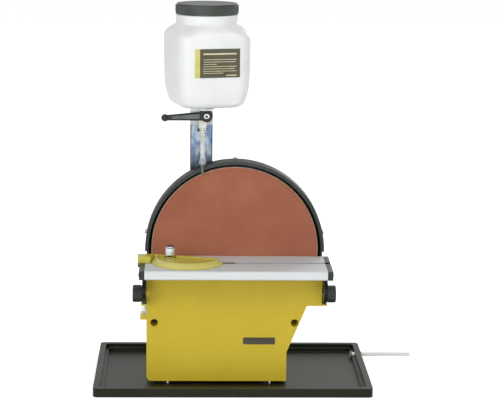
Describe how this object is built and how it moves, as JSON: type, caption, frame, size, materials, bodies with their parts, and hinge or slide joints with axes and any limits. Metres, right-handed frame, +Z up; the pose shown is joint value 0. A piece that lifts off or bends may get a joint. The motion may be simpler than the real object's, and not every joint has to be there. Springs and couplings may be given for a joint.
{
  "type": "benchtop disc sander",
  "caption": "Benchtop disc sander with a tilting aluminium table, mitre gauge, catch tray and a liquid container with a tap on a post for wet sanding.",
  "frame": {"origin": "middle of the tray's underside, on the bench", "axes": "+Z up, the disc faces -Y towards the user, +X to the user's right"},
  "size_m": [0.495, 0.2872, 0.5777],
  "materials": {
    "yellow_shell": "satin moulded plastic",
    "black_plastic": "fine grained black plastic",
    "tray_plastic": "grained black plastic",
    "yellow_casting": "yellow paint on a die casting",
    "table_aluminium": "extruded, natural",
    "motor_casting": "dark grey casting",
    "steel": "plain steel",
    "bright_steel": "bright plated steel",
    "abrasive": "brown red grit on paper",
    "rubber": "matt",
    "milk_plastic": "translucent natural polyethylene",
    "white_nylon": "natural nylon",
    "clear_plastic": "clear soft plastic",
    "board": "circuit board"
  },
  "bodies": {
    "machine": {"drip_tray": "tray_plastic", "drain_fitting": "white_nylon", "drain_nut": "white_nylon", "drain_spout": "milk_plastic", "rubber_feet": "rubber", "foot_screws": "steel", "base_plate": "steel", "rear_housing": "yellow_shell", "front_cover": "yellow_shell", "cover_screws": "steel", "disc_hood": "black_plastic", "hood_screws": "steel", "motor_housing": "motor_casting", "motor_end_shield": "motor_casting", "fan_cover": "black_plastic", "stator": "steel", "front_bearing": "steel", "rear_bearing": "steel", "guide_pins": "steel", "support_post": "bright_steel", "post_bolts": "steel", "container_bracket": "steel", "bracket_screws": "steel", "container": "milk_plastic", "tap_body": "white_nylon", "tap_nut": "white_nylon", "hose_clip": "black_plastic", "drip_hose": "milk_plastic", "drip_nozzle": "steel", "switch_body": "black_plastic", "switch_guard": "clear_plastic", "dust_spigot": "black_plastic", "cable_gland": "black_plastic", "control_board": "board"},
    "disc": {"motor_shaft": "steel", "rotor": "steel", "cooling_fan": "black_plastic", "platen": "table_aluminium", "abrasive_disc": "abrasive"},
    "table": {"table_plate": "table_aluminium", "left_trunnion": "black_plastic", "right_trunnion": "black_plastic", "table_screws": "steel"},
    "left_clamp": {"left_knob": "black_plastic", "left_knob_stud": "steel"},
    "right_clamp": {"right_knob": "black_plastic", "right_knob_stud": "steel"},
    "gauge_slider": {"guide_bar": "steel", "gauge_base": "yellow_casting"},
    "gauge": {"gauge_head": "yellow_casting"},
    "gauge_lock": {"gauge_screw": "bright_steel", "gauge_stud": "steel"},
    "tap": {"tap_lever": "black_plastic", "lever_screw": "bright_steel"},
    "cap": {"container_cap": "black_plastic"},
    "switch": {"switch_rocker": "black_plastic"}
  },
  "joints": [
    {"name": "disc_spin", "type": "hinge", "parent": "machine", "child": "disc", "pos_m": [0.002, 0, 0.2083], "axis": [0, 1, 0], "continuous": true},
    {"name": "table_tilt", "type": "hinge", "parent": "machine", "child": "table", "pos_m": [0.002, -0.0527, 0.198], "axis": [1, 0, 0], "range_deg": [0, 45]},
    {"name": "left_clamp_turn", "type": "hinge", "parent": "machine", "child": "left_clamp", "pos_m": [-0.138, -0.05798, 0.14105], "axis": [-1, 0, 0], "continuous": true},
    {"name": "right_clamp_turn", "type": "hinge", "parent": "machine", "child": "right_clamp", "pos_m": [0.142, -0.05798, 0.14105], "axis": [1, 0, 0], "continuous": true},
    {"name": "gauge_slide", "type": "slide", "parent": "table", "child": "gauge_slider", "axis": [1, 0, 0], "range_m": [-0.03, 0.11]},
    {"name": "gauge_swing", "type": "hinge", "parent": "gauge_slider", "child": "gauge", "pos_m": [-0.0945, -0.1007, 0.2], "axis": [0, 0, 1], "range_deg": [-28, 40]},
    {"name": "gauge_screw_turn", "type": "hinge", "parent": "gauge_slider", "child": "gauge_lock", "pos_m": [-0.0945, -0.1007, 0.21], "axis": [0, 0, 1], "continuous": true},
    {"name": "tap_turn", "type": "hinge", "parent": "machine", "child": "tap", "pos_m": [-0.0418, -0.0785, 0.414], "axis": [0, -1, 0], "range_deg": [0, 90]},
    {"name": "cap_turn", "type": "hinge", "parent": "machine", "child": "cap", "pos_m": [-0.0419, -0.062, 0.572], "axis": [0, 0, 1], "continuous": true},
    {"name": "switch_rock", "type": "hinge", "parent": "machine", "child": "switch", "pos_m": [-0.1312, -0.052, 0.116], "axis": [0, 1, 0], "range_deg": [0, 14]}
  ]
}
